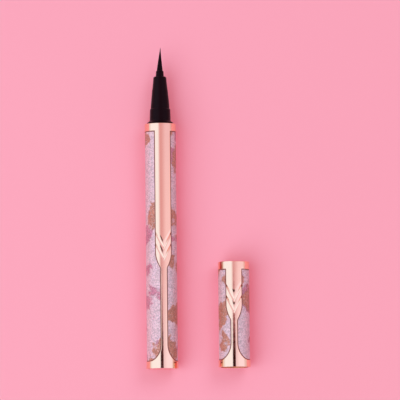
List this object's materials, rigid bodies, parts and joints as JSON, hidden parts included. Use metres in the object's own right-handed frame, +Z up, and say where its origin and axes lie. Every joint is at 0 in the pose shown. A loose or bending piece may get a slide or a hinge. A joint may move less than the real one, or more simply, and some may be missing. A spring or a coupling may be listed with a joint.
{
  "type": "eyeliner pen with cap",
  "caption": "Slim brush-tip eyeliner pen lying uncapped beside its cap, metallised shells with long windows over glitter panels.",
  "frame": {"origin": "on the surface that the pen and cap lie on, midway between their axes and midway along the uncapped pen", "axes": "+Y along the pen from its tail to its brush, +X from the pen to the cap, +Z up off the surface"},
  "size_m": [0.039, 0.1206, 0.012],
  "materials": {
    "rose_gold": "mirror metallised",
    "glitter": "fine glitter",
    "black_plastic": "satin",
    "black_bristle": "fine fibres",
    "tube_plastic": "matte",
    "ink_fibre": "ink-soaked fibre",
    "film": "clear film",
    "white_plastic": "moulded",
    "soft_plastic": "moulded, soft"
  },
  "bodies": {
    "pen": {"barrel_shell": "rose_gold", "barrel_panel_left": "glitter", "barrel_panel_right": "glitter", "barrel_tube": "tube_plastic", "grip_section": "black_plastic", "tip_holder": "black_plastic", "brush_tip": "black_bristle", "feed_rod": "ink_fibre", "ink_reservoir": "ink_fibre", "reservoir_film": "film", "tail_plug": "soft_plastic", "tail_button": "rose_gold"},
    "cap": {"cap_shell": "rose_gold", "cap_panel_left": "glitter", "cap_panel_right": "glitter", "cap_liner": "white_plastic", "inner_cap": "soft_plastic"}
  },
  "joints": [
    {"name": "cap_slide", "type": "slide", "parent": "pen", "child": "cap", "axis": [0, 1, 0], "range_m": [0, 0.121]}
  ]
}
